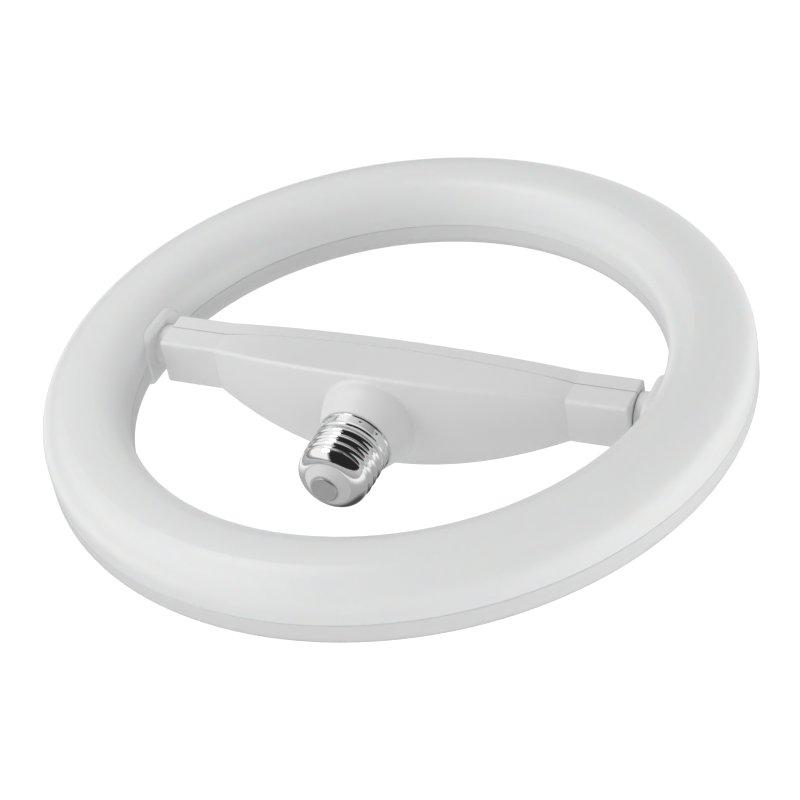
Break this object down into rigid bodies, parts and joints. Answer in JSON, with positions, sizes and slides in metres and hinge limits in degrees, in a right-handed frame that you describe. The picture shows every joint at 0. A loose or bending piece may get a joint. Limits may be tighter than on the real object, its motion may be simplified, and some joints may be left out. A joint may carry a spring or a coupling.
{
  "type": "foldable ring lamp with screw cap",
  "caption": "Round tubular ring of light hinged inside its own plane on a hollow cross bar that narrows to a neck and a screw cap.",
  "frame": {"origin": "centre of the screw cap's rim, where its straight wall leaves the neck", "axes": "-Y out along the screw cap, X along the hinge axis of the ring, +Z out of the diffuser side of the folded ring"},
  "size_m": [0.25, 0.25, 0.0372],
  "materials": {
    "housing_plastic": "satin moulded",
    "ring_plastic": "satin moulded",
    "diffuser_plastic": "milky satin",
    "cap_metal": "bright plated",
    "insulator": "satin",
    "contact_metal": "dull tinned",
    "screw_steel": "zinc plated",
    "pin_steel": "turned",
    "washer_plastic": "plain",
    "line_sleeve": "insulated lead",
    "neutral_sleeve": "insulated lead",
    "lead_sleeve": "insulated lead",
    "circuit_board": "glass fibre board",
    "resistor_body": "lacquered",
    "component_black": "moulded",
    "capacitor_sleeve": "shrunk sleeve",
    "ferrite": "sintered",
    "coil_tape": "tape wound",
    "terminal_plastic": "moulded",
    "link_copper": "tinned strip",
    "light_board": "white lacquered",
    "led_phosphor": "phosphor filled"
  },
  "bodies": {
    "cap_and_bar": {"housing_front": "housing_plastic", "housing_back": "housing_plastic", "housing_screws": "screw_steel", "screw_shell": "cap_metal", "cap_insulator": "insulator", "centre_contact": "contact_metal", "line_lead": "line_sleeve", "neutral_lead": "neutral_sleeve", "driver_board": "circuit_board", "fuse_resistor": "resistor_body", "bridge_rectifier": "component_black", "mains_capacitor": "capacitor_sleeve", "transformer_core": "ferrite", "transformer_coil": "coil_tape", "driver_chip": "component_black", "output_capacitor": "capacitor_sleeve", "output_terminal": "terminal_plastic", "driver_lead": "lead_sleeve"},
    "ring": {"ring_base": "ring_plastic", "ring_diffuser": "diffuser_plastic", "ring_terminal": "terminal_plastic", "ring_lead": "lead_sleeve", "board_links": "link_copper", "lug_screws": "screw_steel", "hinge_lug_left": "ring_plastic", "hinge_lug_right": "ring_plastic", "pivot_pin_left": "pin_steel", "pivot_pin_right": "pin_steel", "retaining_clip_left": "pin_steel", "retaining_clip_right": "pin_steel", "friction_washer_left": "washer_plastic", "friction_washer_right": "washer_plastic", "led_board_1": "light_board", "led_board_2": "light_board", "led_board_3": "light_board", "led_board_4": "light_board", "led_chips_1": "led_phosphor", "led_chips_2": "led_phosphor", "led_chips_3": "led_phosphor", "led_chips_4": "led_phosphor"}
  },
  "joints": [
    {"name": "ring_tilt", "type": "hinge", "parent": "cap_and_bar", "child": "ring", "pos_m": [0, 0.0368, 0], "axis": [1, 0, 0], "range_deg": [-90, 90]}
  ]
}
